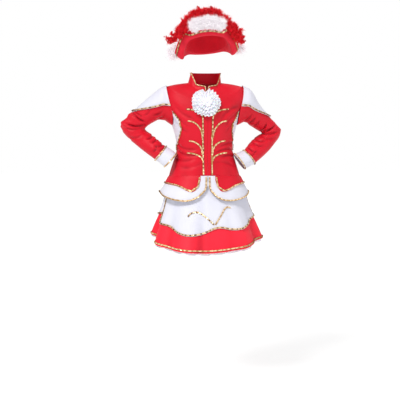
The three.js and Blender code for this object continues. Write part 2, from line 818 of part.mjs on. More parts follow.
// A white organza frill, gathered to the inside of the skirt, that shows below its hem.
const FRILL_WAVES = 24;
const FRILL_TOP = 0.9;
const FRILL_END = 1.025;
const FRILL_WAVE = 7;
const frill = form((u, v) => {
  const column = Math.floor(u / SKIRT_STEP) * SKIRT_STEP;
  const inside = (angle) => lifted(skirt, angle, min(v, 1), -2 * LAY - NET);
  const spot = inside(column).lerp(inside(column + SKIRT_STEP), (u - column) / SKIRT_STEP);
  const fall = unit((v - FRILL_TOP) / (FRILL_END - FRILL_TOP));
  const wave = ((cos(u * FRILL_WAVES * DEG) - 1) / 2) * FRILL_WAVE * fall;
  const out = new THREE.Vector2(spot.x, spot.y).normalize();
  return spot.add(new THREE.Vector3(out.x * wave, out.y * wave, -max(v - 1, 0) * SKIRT_FALL));
}, -1);
add(
  "frill",
  cloth(frill, FRILL_WAVES * 4, 1, (s, t) => [s * FULL, mix(FRILL_TOP, FRILL_END, t)], {
    closed: true,
    thick: NET - 0.1,
  }),
  ORGANZA,
);

// The jabot: ruffled organza rings on a covered core, leaning back on the chest under the collar.
const JABOT_LEAN = 19;
const jabot = new THREE.Group();
jabot.position.set(-6, -84, -68);
jabot.rotation.x = -JABOT_LEAN * DEG;
costume.add(jabot);
const ruffles = table(
  ["name", "inner", "outer", "waves", "swing", "front"],
  [
    ["jabot_ruffle_1", 6.6, 53, 14, 3.6, 7],
    ["jabot_ruffle_2", 6.6, 43, 12, 3.2, 13.6],
    ["jabot_ruffle_3", 6.6, 31, 9, 2.8, 19.8],
    ["jabot_ruffle_4", 6.6, 19, 6, 2.4, 25.6],
  ],
);
ruffles.forEach(({ name, inner, outer, waves, swing, front }, tier) => {
  const ruffle = form((u, r) => {
    const open = unit((r - inner) / (outer - inner));
    const wave = sin(u * waves * DEG + tier) * swing * open;
    const scallop = 1 + 0.05 * open * cos(u * waves * DEG + tier + 0.6) + 0.03 * open * sin(3 * u * DEG);
    const reach = r * scallop;
    return new THREE.Vector3(reach * sin(u * DEG), -front - wave - open * 2, reach * cos(u * DEG));
  });
  const opened = (s, t) => [s * FULL, mix(inner, outer, t)];
  add(name, cloth(ruffle, waves * 4, 1, opened, { closed: true, thick: NET }), ORGANZA, jabot);
});
const CORE = 6;
const coreProfile = [
  [0, 1.4],
  [CORE, 1.4],
  [CORE, 27],
  [CORE * 0.7, 29.5],
  [0, 30.5],
].map(([r, y]) => new THREE.Vector2(r, y));
const core = new THREE.LatheGeometry(coreProfile, 10).rotateX(PI);
add("jabot_core", core, ORGANZA, jabot);

// The hat sits tipped back and a little to the side. Its own frame has the crown's rim at z = 0.
const hat = new THREE.Group();
hat.position.set(7, 2, 150);
hat.rotation.set(-16 * DEG, -3.5 * DEG, -6 * DEG);
costume.add(hat);
const CROWN_HALF = 80;
const CROWN_LONG = 96;
const CROWN_HIGH = 92;
const crown = form((u, v) => {
  const rise = (v * PI) / 2;
  const r = cos(rise) ** 0.75;
  return new THREE.Vector3(
    CROWN_HALF * r * sin(u * DEG),
    -CROWN_LONG * r * cos(u * DEG),
    CROWN_HIGH * sin(rise),
  );
});
// The brim leaves the rim, rolls down at the wearer's ears and stands up before and behind.
const brimTable = table(
  ["at", "rollOut", "rollUp", "edgeOut", "edgeUp"],
  [
    [0, 20, -14, 17, 70],
    [22, 21, -16, 18, 66],
    [45, 20, -26, 23, 46],
    [66, 10, -54, 32, 4],
    [90, 0, -84, 38, -22],
    [114, 10, -54, 32, 6],
    [135, 20, -26, 24, 42],
    [158, 21, -16, 20, 60],
    [180, 20, -14, 19, 64],
  ],
);
const BRIM_SET = CLOTH + LAY; // the brim's foot outside the crown
const CROWN_FOOT = 0.004;
const brim = form((u, t) => {
  const { rollOut, rollUp, edgeOut, edgeUp } = ringAt(brimTable, abs(turnOf(u)));
  const bend = (a, b) => 2 * t * (1 - t) * a + t * t * b;
  const out = bend(rollOut, edgeOut) + BRIM_SET;
  return new THREE.Vector3(
    (CROWN_HALF + out) * sin(u * DEG),
    -(CROWN_LONG + out) * cos(u * DEG),
    bend(rollUp, edgeUp),
  );
});
const CROWN_TOP = 0.985;
add(
  "hat_crown",
  cloth(crown, 18, 4, (s, t) => [s * FULL, mix(CROWN_FOOT, CROWN_TOP, t)], { closed: true }),
  VELVET,
  hat,
);
const BRIM_COLUMNS = 30;
const brimWall = (extra, over) =>
  cloth(brim, BRIM_COLUMNS, 4, (s, t) => [s * FULL, mix(0, over, t)], {
    closed: true,
    lift: -CLOTH - extra,
    thick: CLOTH + 2 * extra,
  });
add("hat_brim", brimWall(0, 1), VELVET, hat);

// A boa: a tube along a curve, lumpy, with rounded ends, cut to sit on the brim's edge.
function boa(points, thickness, stepsAlong, sides, lump) {
  const curve = new THREE.CatmullRomCurve3(points);
  const frames = curve.computeFrenetFrames(stepsAlong, false);
  const grid = [];
  for (let i = 0; i <= stepsAlong; i += 1) {
    const s = i / stepsAlong;
    const middle = curve.getPointAt(s);
    const end = max(sin(unit(min(s, 1 - s) * 9) * PI * 0.5), 0.25);
    grid.push(
      Array.from({ length: sides }, (_, k) => {
        const a = (k / sides) * 2 * PI;
        const r = thickness(s) * end * (1 + lump * sin(5 * a + 9 * i) + lump * cos(3 * a - 5 * i));
        return middle
          .clone()
          .addScaledVector(frames.normals[i], r * cos(a))
          .addScaledVector(frames.binormals[i], r * sin(a));
      }),
    );
  }
  const spots = [...grid.flat(), curve.getPointAt(0), curve.getPointAt(1)];
  const faces = [];
  const at = (i, k) => i * sides + (k % sides);
  const [first, last] = [spots.length - 2, spots.length - 1];
  for (let k = 0; k < sides; k += 1) {
    for (let i = 0; i < stepsAlong; i += 1)
      faces.push(...quad(at(i, k), at(i, k + 1), at(i + 1, k + 1), at(i + 1, k)));
    faces.push([first, at(0, k + 1), at(0, k)], [last, at(stepsAlong, k), at(stepsAlong, k + 1)]);
  }
  return closedMesh(spots, faces);
}
const BOA_GAP = 0.35;
const brimRoom = solid(brimWall(BOA_GAP, 1.01));
const biggest = (made) => made.decompose().sort((a, b) => b.volume() - a.volume())[0];
const seated = (made) => meshOf(biggest(made.subtract(brimRoom)));
const edgePoint = (u, out, up, t = 1) => {
  const spot = brim.point(u, t);
  const away = new THREE.Vector3(sin(u * DEG), -cos(u * DEG), 0);
  return spot.addScaledVector(away, out).add(new THREE.Vector3(0, 0, up));
};

// A feather tip: a thin curved spike that leaves the boa.
const tuftColumns = ["angle", "out", "up", "long"];
const tufts = table(tuftColumns, [
  [-66, 1, -0.3, 44],
  [-64, 1, 0.1, 46],
  [-60, 1, 0.4, 36],
  [-52, 0.8, 0.9, 30],
  [-42, 0.5, 1, 28],
  [-28, 0.2, 1, 24],
  [-14, -0.1, 1, 26],
  [0, 0.2, 1, 22],
  [14, 0.1, 1, 24],
  [28, 0.3, 1, 26],
  [40, 0.6, 1, 26],
  [52, 0.9, 0.8, 28],
  [62, 1, 0.5, 32],
  [70, 1, 0.2, 32],
  [76, 1, -0.3, 30],
]);
// The boa stands on the edge in the middle, and slides down before the brim on each side.
const plumeRow = table(
  ["at", "out", "up", "climb"],
  [
    [-76, 9, 6, 1],
    [-60, 12, 4, 0.98],
    [-42, 14, 5, 0.92],
    [-22, 6, 12, 1],
    [0, 4, 12, 1],
    [22, 6, 12, 1],
    [42, 14, 5, 0.92],
    [60, 14, 2, 0.96],
    [80, 10, 4, 1],
  ],
);
const PLUME_ENDS = [-66, 77];
const plumePoint = (u, further = 0, higher = 0) => {
  const { out, up, climb } = ringAt(plumeRow, u);
  return edgePoint(u, out + further, up + higher, climb);
};
function tuft({ angle, out, up, long }, i) {
  const root = plumePoint(angle);
  const away = plumePoint(angle, out, up).sub(root).normalize();
  const spike = new THREE.ConeGeometry(6.5, long, 3, 1);
  spike.translate(0, long / 2, 0);
  spike.rotateY(i);
  spike.applyQuaternion(new THREE.Quaternion().setFromUnitVectors(new THREE.Vector3(0, 1, 0), away));
  return spike.translate(root.x, root.y, root.z);
}
const plumeLine = steps(12, (s) => plumePoint(mix(...PLUME_ENDS, s)));
const plumeRadius = (s) => mix(18, 14.5, ease(1 - abs(2 * s - 1)));
const plumeTube = (extra) => boa(plumeLine, (s) => plumeRadius(s) + extra, 20, 7, 0.07);

// The white marabou: a strip on the brim's front, and a longer one round the back.
const FUR_LINE = 0.8; // how far up the brim the front strip sits
const FUR_RADIUS = 23;
const furFront = steps(8, (s) => edgePoint(mix(-33, 38, s), 11, 0, FUR_LINE));
const furTube = (extra) => boa(furFront, () => FUR_RADIUS + extra, 10, 8, 0.06);
add("hat_fur_front", seated(solid(furTube(0))), BOA_WHITE, hat);

// The braid lies under the marabou at the front, and runs out along the edge to the ears.
const braidLine = (u) => mix(0.52, 0.9, ease(unit((abs(u) - 30) / 24)));
const hatPath = steps(16, (s) => mix(-96, 96, s)).map((u) => [u, braidLine(u)]);
const hatBraid = (extra) =>
  braid(brim, hatPath, {
    lift: 2 * BRAID_LAY - extra,
    thick: BRAID_THICK + 2 * extra,
    wide: BRAID_WIDE + 2 * extra,
  });
add("hat_braid", hatBraid(0), GOLD, hat);

const plume = [plumeTube(0), ...tufts.map(tuft)]
  .map(solid)
  .reduce((all, one) => all.add(one))
  .subtract(solid(furTube(BOA_GAP)))
  .subtract(solid(hatBraid(BOA_GAP)));
add("hat_plume", seated(plume), BOA_RED, hat);
const toEnd = (s) => min(s, 1 - s);
const furBack = steps(16, (s) => edgePoint(mix(90, FULL - 88, s), 14, mix(-6, 6, unit(6 * toEnd(s)))));
const furRound = boa(furBack, (s) => mix(27, 21, ease(unit(4 * toEnd(s)))), 18, 8, 0.06);
const furRoom = solid(furRound).subtract(solid(plumeTube(BOA_GAP))).subtract(solid(hatBraid(BOA_GAP)));
add("hat_fur_back", seated(furRoom), BOA_WHITE, hat);

export default costume;
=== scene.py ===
import math
import random

import bmesh
import bpy
import numpy as np
from mathutils import Matrix, Vector
from mathutils.bvhtree import BVHTree


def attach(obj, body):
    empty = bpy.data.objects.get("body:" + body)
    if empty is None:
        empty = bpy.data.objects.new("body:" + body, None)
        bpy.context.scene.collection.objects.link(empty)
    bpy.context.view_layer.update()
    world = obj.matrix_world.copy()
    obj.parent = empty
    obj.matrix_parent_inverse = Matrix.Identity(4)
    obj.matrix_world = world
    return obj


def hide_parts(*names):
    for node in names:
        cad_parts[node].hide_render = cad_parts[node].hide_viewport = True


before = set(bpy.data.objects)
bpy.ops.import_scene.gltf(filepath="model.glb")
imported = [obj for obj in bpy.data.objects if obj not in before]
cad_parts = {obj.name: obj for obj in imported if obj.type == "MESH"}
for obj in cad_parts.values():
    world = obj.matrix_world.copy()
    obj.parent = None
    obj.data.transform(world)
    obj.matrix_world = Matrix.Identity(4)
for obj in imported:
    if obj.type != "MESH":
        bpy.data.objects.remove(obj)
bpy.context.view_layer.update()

# The studio: a floor of white paper a leg's length below the skirt, white paper all round, and
# three wide soft lights, from the wearer's right and left before the costume and from above.
aim = Vector((-0.017, 0, -0.4275))
azimuth = math.radians(-7)
elevation = math.radians(4.5)
CAMERA_DISTANCE = 4
HALF_PICTURE = 200  # pixels
FOCAL_LENGTH = 1066.7  # pixels
camera = bpy.data.objects.new("camera", bpy.data.cameras.new("camera"))
bpy.context.collection.objects.link(camera)
toward = Vector(
    (
        math.sin(azimuth) * math.cos(elevation),
        -math.cos(azimuth) * math.cos(elevation),
        math.sin(elevation),
    )
)
camera.location = aim + CAMERA_DISTANCE * toward
camera.rotation_euler = (-toward).to_track_quat("-Z", "Y").to_euler()
camera.data.sensor_fit = "HORIZONTAL"
camera.data.angle = 2 * math.atan(HALF_PICTURE / FOCAL_LENGTH)
bpy.context.scene.camera = camera

world = bpy.data.worlds.new("studio")
bpy.context.scene.world = world
world.use_nodes = True
world_nodes, world_links = world.node_tree.nodes, world.node_tree.links
room_light = world_nodes["Background"]
room_light.inputs["Color"].default_value = (1, 1, 1, 1)
room_light.inputs["Strength"].default_value = 0.42
white_paper = world_nodes.new("ShaderNodeBackground")
white_paper.inputs["Color"].default_value = (1, 1, 1, 1)
seen = world_nodes.new("ShaderNodeLightPath")
backdrop = world_nodes.new("ShaderNodeMixShader")
world_links.new(seen.outputs["Is Camera Ray"], backdrop.inputs["Fac"])
world_links.new(room_light.outputs["Background"], backdrop.inputs[1])
world_links.new(white_paper.outputs["Background"], backdrop.inputs[2])
world_links.new(backdrop.outputs["Shader"], world_nodes["World Output"].inputs["Surface"])
bpy.context.scene.view_settings.view_transform = "Standard"

FLOOR = -1.13
bpy.ops.mesh.primitive_plane_add(size=30, location=(0, 0, FLOOR))
floor = bpy.context.object
floor.name = "floor"
# The paper glows a little, as an overlit studio floor does, so that hardly any shadow shows.
floor_paint = bpy.data.materials.new("pale_floor")
floor_paint.use_nodes = True
floor_face = floor_paint.node_tree.nodes["Principled BSDF"]
floor_face.inputs["Base Color"].default_value = (0.35, 0.35, 0.35, 1)
floor_face.inputs["Roughness"].default_value = 0.85
floor_face.inputs["Emission Color"].default_value = (1, 1, 1, 1)
floor_face.inputs["Emission Strength"].default_value = 0.72
floor.data.materials.append(floor_paint)


def soft_light(name, place, width, strength):
    """A wide light far away, so that it falls evenly on the costume and on the whole floor."""
    light = bpy.data.lights.new(name, "SUN")
    light.angle = math.radians(width)
    light.energy = strength
    lamp = bpy.data.objects.new(name, light)
    lamp.rotation_euler = Vector(place).to_track_quat("Z", "Y").to_euler()
    bpy.context.collection.objects.link(lamp)


soft_light("key_light", (-0.75, -0.9, 1.25), 16, 2.05)
soft_light("fill_light", (1.0, -1.0, 0.25), 60, 0.65)
soft_light("top_light", (0.3, 0.3, 1.0), 40, 0.4)

# The jacket's red panels: two fronts, a back, two placket strips and a stand collar, cut from a
# firm red satin and sewn edge to edge. Each is the CAD wall with its facets rounded out, so that
# the cloth still runs through every CAD point, with the drag lines of a worn jacket on it.


def blank_material(name):
    """A new material with its nodes, its links and its shader."""
    material = bpy.data.materials.new(name)
    material.use_nodes = True
    nodes = material.node_tree.nodes
    return material, nodes, material.node_tree.links, nodes["Principled BSDF"]


def tones(nodes, low, dark, high, pale):
    """A ramp that runs from the dark colour at low to the pale one at high."""
    ramp = nodes.new("ShaderNodeValToRGB")
    first, last = ramp.color_ramp.elements
    first.position, first.color = low, (*dark, 1)
    last.position, last.color = high, (*pale, 1)
    return ramp


def satin(name, colour, shade, deep, sheen=0.05, roughness=0.5, gloss=0.5):
    """A matt satin: a fine twill in relief, the colour a little uneven, with painted shade inside a
    fold.
    """
    material, nodes, links, surface = blank_material(name)
    place = nodes.new("ShaderNodeTexCoord")
    cloud = nodes.new("ShaderNodeTexNoise")
    cloud.inputs["Scale"].default_value = 9
    cloud.inputs["Detail"].default_value = 3
    ramp = tones(nodes, 0.3, shade, 0.7, colour)
    twill = nodes.new("ShaderNodeTexWave")
    twill.bands_direction = "DIAGONAL"
    twill.inputs["Scale"].default_value = 420
    twill.inputs["Distortion"].default_value = 1.5
    twill.inputs["Detail"].default_value = 1
    crease = nodes.new("ShaderNodeTexNoise")
    crease.inputs["Scale"].default_value = 60
    crease.inputs["Detail"].default_value = 4
    both = nodes.new("ShaderNodeMath")
    both.operation = "MULTIPLY_ADD"
    both.inputs[1].default_value = TWILL_SHARE
    bump = nodes.new("ShaderNodeBump")
    bump.inputs["Strength"].default_value = 0.3
    bump.inputs["Distance"].default_value = 0.0006
    links.new(place.outputs["Object"], cloud.inputs["Vector"])
    links.new(place.outputs["Object"], twill.inputs["Vector"])
    links.new(place.outputs["Object"], crease.inputs["Vector"])
    links.new(cloud.outputs["Fac"], ramp.inputs["Fac"])
    fold_shade = nodes.new("ShaderNodeAttribute")
    fold_shade.attribute_name = "fold_shade"
    fold_shading = nodes.new("ShaderNodeMix")
    fold_shading.data_type = "RGBA"
    # deep is the painted shade at the bottom of a fold, mixed in by how deep the point lies in it.
    fold_shading.inputs["B"].default_value = (*deep, 1)
    links.new(fold_shade.outputs["Fac"], fold_shading.inputs["Factor"])
    links.new(ramp.outputs["Color"], fold_shading.inputs["A"])
    links.new(fold_shading.outputs["Result"], surface.inputs["Base Color"])
    links.new(twill.outputs["Fac"], both.inputs[0])
    links.new(crease.outputs["Fac"], both.inputs[2])
    links.new(both.outputs["Value"], bump.inputs["Height"])
    links.new(bump.outputs["Normal"], surface.inputs["Normal"])
    surface.inputs["Roughness"].default_value = roughness
    surface.inputs["Sheen Weight"].default_value = sheen
    surface.inputs["Sheen Roughness"].default_value = 0.4
    surface.inputs["Specular IOR Level"].default_value = gloss
    return material


TWILL_SHARE = 0.35  # of the relief; the rest is fine creases
red_satin = satin(
    "red_satin", (0.74, 0.005, 0.024), (0.63, 0.002, 0.015), (0.30, 0.0, 0.010), gloss=0.25
)


def merged(node):
    """The CAD wall of one node with its shared corners joined, and pairs of triangles made quads."""
    form = bmesh.new()
    form.from_mesh(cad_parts[node].data)
    bmesh.ops.remove_doubles(form, verts=form.verts, dist=1e-6)
    bmesh.ops.join_triangles(
        form,
        faces=form.faces,
        angle_face_threshold=math.radians(60),
        angle_shape_threshold=math.radians(80),
    )
    return form


def new_piece(name, mesh):
    """An object for a mesh, in the scene and at the origin."""
    piece = bpy.data.objects.new(name, mesh)
    bpy.context.collection.objects.link(piece)
    return piece


RIM_ANGLE = math.radians(50)  # an edge that is bent further than this stays sharp
ROUNDING_STEPS = 3


def rounded(node, levels):
    """The same wall as a smooth surface that passes through the CAD's own points."""
    form = merged(node)
    soft = form.edges.layers.float.new("crease_edge")
    for edge in form.edges:
        if len(edge.link_faces) == 2 and edge.calc_face_angle() > RIM_ANGLE:
            edge[soft] = 1.0
    mesh = bpy.data.meshes.new(node + "_cloth")
    form.to_mesh(mesh)
    form.free()
    piece = new_piece("cloth_" + node, mesh)
    surface = piece.modifiers.new("round", "SUBSURF")
    surface.levels = levels
    surface.render_levels = levels
    surface.boundary_smooth = "PRESERVE_CORNERS"
    wanted = np.array([corner.co for corner in mesh.vertices])
    held = wanted.copy()
    for _ in range(ROUNDING_STEPS):
        shaped = piece.evaluated_get(bpy.context.evaluated_depsgraph_get()).data
        now = np.empty(len(shaped.vertices) * 3)
        shaped.vertices.foreach_get("co", now)
        held += wanted - now.reshape(-1, 3)[: len(wanted)]
        mesh.vertices.foreach_set("co", held.ravel())
        mesh.update()
    shaped = bpy.data.meshes.new_from_object(
        piece.evaluated_get(bpy.context.evaluated_depsgraph_get())
    )
    piece.modifiers.clear()
    piece.data = shaped
    return piece


FOLD_DEPTH = 0.0056  # a point that sinks this far has the full painted shade of a fold
FOLD_CURVE = 1.4


def moved_points(piece, offset):
    """Moves each point of a piece by what offset gives for it, and marks how deep in a fold it lies,
    for the painted shade of the fold.
    """
    mesh = piece.data
    points, outward = np.empty((2, len(mesh.vertices) * 3))
    mesh.vertices.foreach_get("co", points)
    mesh.vertices.foreach_get("normal", outward)
    points, outward = points.reshape(-1, 3), outward.reshape(-1, 3)
    shift = offset(points)
    fold_shade = np.clip(-np.sum(shift * outward, axis=1) / FOLD_DEPTH, 0, 1) ** FOLD_CURVE
    mesh.attributes.new("fold_shade", "FLOAT", "POINT").data.foreach_set("value", fold_shade.astype(np.float32))
    mesh.vertices.foreach_set("co", (points + shift).ravel())
    mesh.update()


def bell(value, middle, width):
    """One at the middle, falling to nothing on both sides."""
    return np.exp(-(((value - middle) / width) ** 2))


BOW = 0.10  # how far a fold bends sideways, as a share of its length
RIDGE_PLACE = 1.9  # of both ridges from the valley, in half widths of the fold
RIDGE_WIDTH = 1.2


def folded(places, folds):
    """How far a cloth stands up or sinks at each place: every fold is a valley between two ridges."""
    depth = np.zeros(len(places))
    for start_x, start_z, end_x, end_z, deep, wide in folds:
        run = np.array([end_x - start_x, end_z - start_z])
        length = np.linalg.norm(run)
        spots = places - np.array([start_x, start_z])
        share = spots @ run / length**2
        bow = BOW * length * np.sin(math.pi * np.clip(share, 0, 1))
        off = (spots[:, 0] * run[1] - spots[:, 1] * run[0]) / length - bow
        taper = np.clip(np.minimum(share + 0.12, 1.12 - share) / 0.3, 0, 1)
        ridges = 0.35 * bell(off, RIDGE_PLACE * wide, RIDGE_WIDTH * wide)
        ridges += 0.2 * bell(off, -RIDGE_PLACE * wide, RIDGE_WIDTH * wide)
        depth -= deep * taper * (bell(off, 0, wide) - ridges)
    return depth


# The drag lines of the jacket's body on the wearer's left, in metres: each line's start and end
# round the body from the middle of the front, with their heights, then its depth and half width.
body_folds = [
    # start round, start z, end round, end z, depth, half width
    (0.117, -0.078, 0.055, -0.122, 0.0036, 0.0070),
    (0.125, -0.098, 0.073, -0.150, 0.0030, 0.0060),
    (0.132, -0.128, 0.081, -0.170, 0.0028, 0.0060),
    (0.154, -0.214, 0.048, -0.232, 0.0034, 0.0052),
    (0.147, -0.240, 0.033, -0.252, 0.0038, 0.0050),
    (0.154, -0.270, 0.055, -0.266, 0.0036, 0.0050),
    (0.121, -0.302, 0.029, -0.284, 0.0028, 0.0055),
    (0.216, -0.055, 0.257, -0.110, 0.0030, 0.0070),
    (0.205, -0.110, 0.275, -0.150, 0.0028, 0.0065),
    (0.183, -0.216, 0.293, -0.232, 0.0034, 0.0054),
    (0.180, -0.244, 0.308, -0.250, 0.0038, 0.0052),
    (0.183, -0.276, 0.290, -0.268, 0.0034, 0.0052),
]
both_sides = body_folds + [
    (-start_x, start_z + 0.004, -end_x, end_z - 0.003, deep, wide)
    for start_x, start_z, end_x, end_z, deep, wide in body_folds
]
BODY_RADIUS = 0.105


def torso_drape(points):
    """Drag lines of the jacket's body, and its soft unevenness from chest to hips."""
    x, y, z = points.T
    turn = np.arctan2(x, -y)
    away = np.stack([np.sin(turn), -np.cos(turn), np.zeros_like(x)], axis=1)
    flank = 0.5 + 0.5 * np.cos(2 * turn + math.pi)
    chest = 0.0024 * np.sin(turn * 7 + z * 38) * bell(z, -0.1, 0.06) * flank
    hips = 0.0014 * np.sin(turn * 11 + 1.4) * bell(z, -0.315, 0.04)
    drag = folded(np.stack([turn * BODY_RADIUS, z], axis=1), both_sides)
    return away * (drag + chest + hips)[:, None]


def dress(piece, node, material):
    """Gives a piece its cloth, fastens it to the root and hides the CAD node that it stands for."""
    piece.data.materials.clear()
    piece.data.materials.append(material)
    for face in piece.data.polygons:
        face.use_smooth = True
    piece.data.set_sharp_from_angle(angle=math.radians(40))
    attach(piece, "root")
    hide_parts(node)
    return piece


def search_tree(meshes):
    """A tree that finds the nearest place on any of the meshes."""
    points, faces = [], []
    for mesh in meshes:
        start = len(points)
        points += [corner.co.copy() for corner in mesh.vertices]
        faces += [[start + index for index in face.vertices] for face in mesh.polygons]
    return BVHTree.FromPolygons(points, faces)


def sewn(piece, neighbours, reach=0.0026):
    """Draws the edge of a piece onto the cloth that it is sewn to, so that no light passes the seam."""
    cloth = search_tree([other.data for other in neighbours])
    for corner in piece.data.vertices:
        spot, _, _, gap = cloth.find_nearest(corner.co, reach)
        if spot is not None:
            corner.co = corner.co.lerp(spot, min(1.5 * (1 - gap / reach), 1))
    piece.data.update()


jacket_cuts = {
    # node: flat size, area of the cut
    "front_right": ((0.20, 0.39), 0.048),
    "front_left": ((0.20, 0.39), 0.048),
    "back": ((0.40, 0.39), 0.11),
    "placket_right": ((0.022, 0.32), 0.0052),
    "placket_left": ((0.022, 0.32), 0.0052),
    "collar": ((0.36, 0.038), 0.0125),
}
jacket = {}
for node in jacket_cuts:
    piece = rounded(node, 3 if node != "collar" else 2)
    moved_points(piece, torso_drape)
    jacket[node] = dress(piece, node, red_satin)
sewn(jacket["back"], [jacket["front_right"], jacket["front_left"]])
sewn(jacket["collar"], [jacket["front_right"], jacket["front_left"], jacket["back"]])

# The white side panels: two lenses of white satin let into the jacket from the waist to the
# armhole, so that the body narrows in one smooth curve under the arm.
white_satin = satin(
    "white_satin",
    (0.77, 0.77, 0.85),
    (0.73, 0.73, 0.83),
    (0.50, 0.51, 0.62),
    sheen=0.1,
    roughness=0.55,
)
SIDE_PANELS = ("side_panel_right", "side_panel_left")
for node in SIDE_PANELS:
    piece = rounded(node, 2)
    moved_points(piece, torso_drape)
    jacket[node] = dress(piece, node, white_satin)

# The sleeves: a red sleeve creased at the bent elbow, a white oversleeve in the shape of a petal
# on its top, and a stiff white cuff. All three share the creases, since they lie on each other.
arms = {
    # the middle line of each bent arm, from the armhole to the cuff
    "right": [
        (-0.135, 0.004, -0.070),
        (-0.200, 0.020, -0.095),
        (-0.262, 0.043, -0.150),
        (-0.212, 0.015, -0.218),
        (-0.128, -0.030, -0.277),
    ],
    "left": [
        (0.135, 0.006, -0.072),
        (0.200, 0.036, -0.110),
        (0.258, 0.058, -0.172),
        (0.212, 0.018, -0.232),
        (0.126, -0.034, -0.282),
    ],
}
# The folds on the front of each bent sleeve, in metres: where each starts and ends across and
# up, its depth and its half width. Most run out from the inside of the elbow.
arm_folds = {
    "right": [
        # start x, start z, end x, end z, depth, half width
        (-0.268, -0.096, -0.224, -0.136, 0.0062, 0.0042),
        (-0.257, -0.094, -0.234, -0.116, 0.0046, 0.0036),
        (-0.300, -0.138, -0.222, -0.147, 0.0066, 0.0040),
        (-0.308, -0.131, -0.282, -0.126, 0.0044, 0.0034),
        (-0.296, -0.160, -0.226, -0.152, 0.0040, 0.0044),
        (-0.276, -0.195, -0.236, -0.185, 0.0036, 0.0042),
        (-0.216, -0.198, -0.184, -0.180, 0.0056, 0.0042),
        (-0.202, -0.212, -0.172, -0.192, 0.0052, 0.0036),
        (-0.196, -0.247, -0.182, -0.222, 0.0056, 0.0036),
        (-0.186, -0.225, -0.150, -0.213, 0.0060, 0.0036),
        (-0.174, -0.244, -0.150, -0.226, 0.0046, 0.0034),
        (-0.190, -0.112, -0.150, -0.089, 0.0048, 0.0050),
        (-0.176, -0.124, -0.144, -0.104, 0.0050, 0.0046),
        (-0.224, -0.112, -0.206, -0.092, 0.0034, 0.0044),
    ],
    "left": [
        (0.214, -0.172, 0.238, -0.142, 0.0058, 0.0040),
        (0.216, -0.173, 0.276, -0.147, 0.0062, 0.0042),
        (0.215, -0.176, 0.284, -0.172, 0.0056, 0.0042),
        (0.222, -0.190, 0.268, -0.200, 0.0040, 0.0044),
        (0.186, -0.196, 0.238, -0.206, 0.0050, 0.0042),
        (0.176, -0.208, 0.226, -0.226, 0.0050, 0.0040),
        (0.158, -0.224, 0.196, -0.250, 0.0052, 0.0038),
        (0.148, -0.236, 0.176, -0.262, 0.0050, 0.0036),
        (0.170, -0.264, 0.192, -0.244, 0.0036, 0.0036),
        (0.142, -0.134, 0.176, -0.108, 0.0046, 0.0048),
        (0.160, -0.142, 0.192, -0.120, 0.0048, 0.0046),
        (0.186, -0.152, 0.208, -0.132, 0.0044, 0.0042),
    ],
}
BACK_LAG_OUT, BACK_LAG_UP = 0.007, -0.005  # the folds behind the arm lie further out and lower
FOLD_FLOOR, FOLD_TOP = -0.009, 0.003  # the deepest valley and the highest ridge
# How far the cloth stands off the outside of each elbow, and off the right one's corner.
elbow_swell = {"right": 0.0085, "left": 0.001}
ELBOW_REACH = 0.018  # of the swell's middle before the elbow, along the arm
ELBOW_SPREAD = 0.015
corner_stand = {"right": 0.0100, "left": 0.0}
CORNER = np.array([-0.296, -0.138])  # x and z of the right elbow's corner
CORNER_SPREAD = 0.0110
ARMHOLE_CALM, ARMHOLE_RISE = 0.014, 0.03  # no fold so near the armhole's seam, and all beyond


def arm_drape(side):
    """The folds of one sleeve, as a shift of each point in or out; the back of the arm echoes them."""
    middle = [np.array(place) for place in arms[side]]
    lengths = [0.0]
    for a, b in zip(middle, middle[1:]):
        lengths.append(lengths[-1] + np.linalg.norm(b - a))
    elbow = lengths[2]
    inner = np.array([-1.0 if side == "left" else 1.0, 0.0, -0.3])
    lag = np.array([BACK_LAG_OUT if side == "left" else -BACK_LAG_OUT, BACK_LAG_UP])

    def offset(points):
        best = np.full(len(points), 1e9)
        nearest = np.zeros((len(points), 3))
        reach = np.zeros(len(points))
        for i in range(len(middle) - 1):
            run = middle[i + 1] - middle[i]
            share = np.clip(((points - middle[i]) @ run) / (run @ run), 0, 1)
            spot = middle[i] + share[:, None] * run
            gap = np.linalg.norm(points - spot, axis=1)
            closer = gap < best
            best = np.where(closer, gap, best)
            nearest[closer] = spot[closer]
            reach = np.where(closer, lengths[i] + share * (lengths[i + 1] - lengths[i]), reach)
        away = points - nearest
        away /= np.maximum(np.linalg.norm(away, axis=1), 1e-6)[:, None]
        seen = points[:, [0, 2]]
        facing = np.clip(0.5 - 1.2 * away[:, 1], 0, 1)
        before = folded(seen, arm_folds[side])
        behind = folded(seen - lag, arm_folds[side])
        depth = before * facing + behind * (1 - facing)
        calm = np.clip((reach - ARMHOLE_CALM) / ARMHOLE_RISE, 0, 1)
        depth = np.clip(depth, FOLD_FLOOR, FOLD_TOP) * calm
        outside = np.clip(-away @ inner, 0, 1) ** 2
        depth += elbow_swell[side] * bell(reach, elbow - ELBOW_REACH, ELBOW_SPREAD) * outside
        from_corner = np.linalg.norm(seen - CORNER, axis=1)
        depth += corner_stand[side] * bell(from_corner, 0, CORNER_SPREAD)
        return away * depth[:, None]

    return offset


sleeve_cuts = {
    # kind: material, slot, flat size, area of the cut
    "sleeve": (red_satin, "red_satin", (0.30, 0.46), 0.092),
    "oversleeve": (white_satin, "white_satin", (0.17, 0.19), 0.0215),
    "cuff": (white_satin, "white_satin", (0.205, 0.055), 0.0108),
}
BODY_NODES = ["front_right", "front_left", "back", *SIDE_PANELS]
body_cloth = [jacket[node] for node in BODY_NODES]
for side in ("right", "left"):
    folds = arm_drape(side)
    for kind, (material, slot, _, _) in sleeve_cuts.items():
        node = f"{kind}_{side}"
        piece = rounded(node, 3 if kind != "cuff" else 2)
        moved_points(piece, folds)
        dress(piece, node, material)
        if kind != "cuff":
            sewn(piece, body_cloth)

# The basque: a white layer with a scalloped hem under a shorter red one, both sewn into the
# jacket's waist seam and parted at the centre front. They flare over the top of the skirt.


